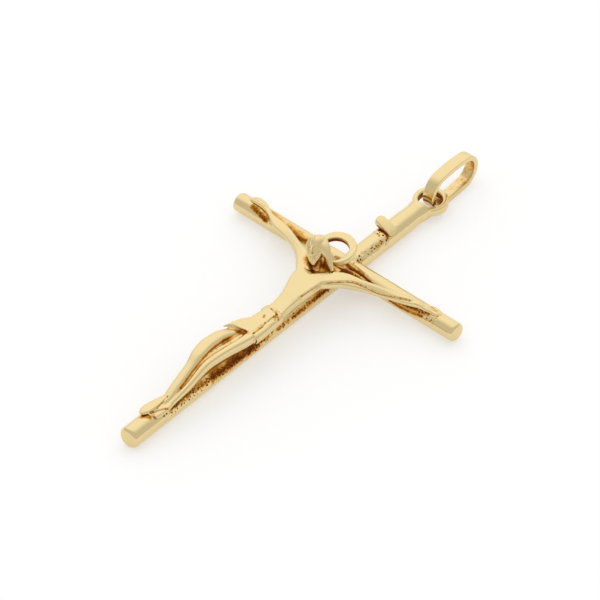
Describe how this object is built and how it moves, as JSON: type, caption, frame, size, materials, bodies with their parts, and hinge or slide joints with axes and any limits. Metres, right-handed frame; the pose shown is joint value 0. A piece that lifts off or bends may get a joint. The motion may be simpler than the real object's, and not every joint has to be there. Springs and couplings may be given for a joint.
{
  "type": "crucifix pendant",
  "caption": "Small gold crucifix pendant: round bars, a cast figure with a ring halo, a bare title plate, an eye and a loose oval bail.",
  "frame": {"origin": "middle of the box's base, on the surface that the pendant lies on", "axes": "+Y up the cross from its foot to the bail, +X along the cross-arm to the figure's left, +Z out of the front"},
  "size_m": [0.0244, 0.0442, 0.0056],
  "materials": {
    "cast_gold": "polished cast yellow gold with dark tarnish in its crevices",
    "gold_band": "polished yellow gold flat band"
  },
  "bodies": {
    "pendant": {"crucifix": "cast_gold"},
    "bail": {"bail": "gold_band"}
  },
  "joints": [
    {"name": "bail_swing", "type": "hinge", "parent": "pendant", "child": "bail", "pos_m": [0.00012, 0.01748, 0.00175], "axis": [0.9986, 0.0523, 0], "range_deg": [-90, 120]}
  ]
}
